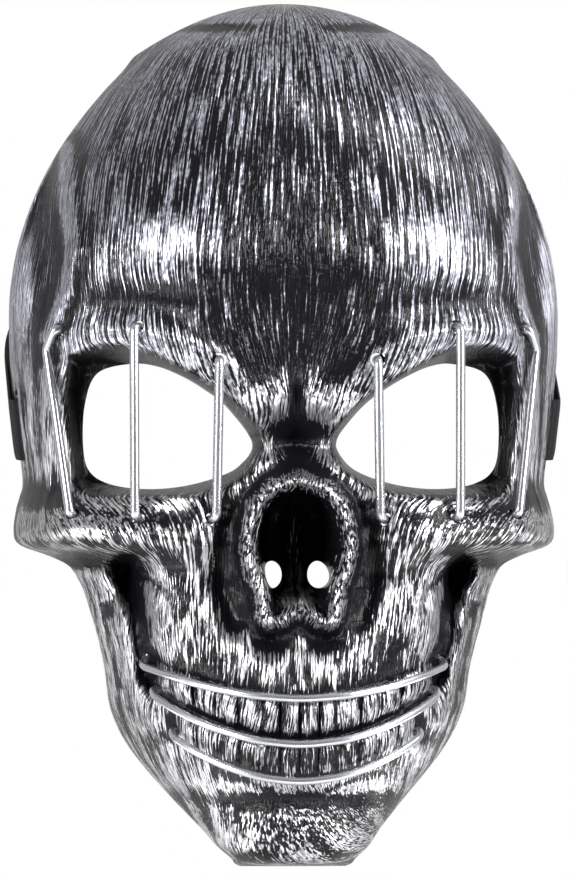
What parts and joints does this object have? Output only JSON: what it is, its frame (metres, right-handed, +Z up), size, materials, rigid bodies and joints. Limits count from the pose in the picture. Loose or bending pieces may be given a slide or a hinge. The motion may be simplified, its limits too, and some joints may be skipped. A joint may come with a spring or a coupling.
{
  "type": "skull mask with light wires",
  "caption": "Full-face skull mask of thin silver-brushed black plastic with round light wires over the eyes and teeth and an elastic head strap.",
  "frame": {"origin": "midway between the two strap slots, in the plane of the shell's back edge, where the wearer's temples are", "axes": "+Z up towards the crown, the face looks along -Y, and +X is the wearer's left"},
  "size_m": [0.1664, 0.1987, 0.2575],
  "materials": {
    "brushed_plastic": "glossy black plastic dry-brushed with silver paint in fine streaks",
    "light_wire": "clear glossy sleeve over a pale light wire",
    "elastic": "woven black elastic"
  },
  "bodies": {
    "root": {"mask_shell": "brushed_plastic", "eye_wire_left": "light_wire", "eye_wire_right": "light_wire", "mouth_wire": "light_wire", "head_strap": "elastic"}
  },
  "joints": []
}
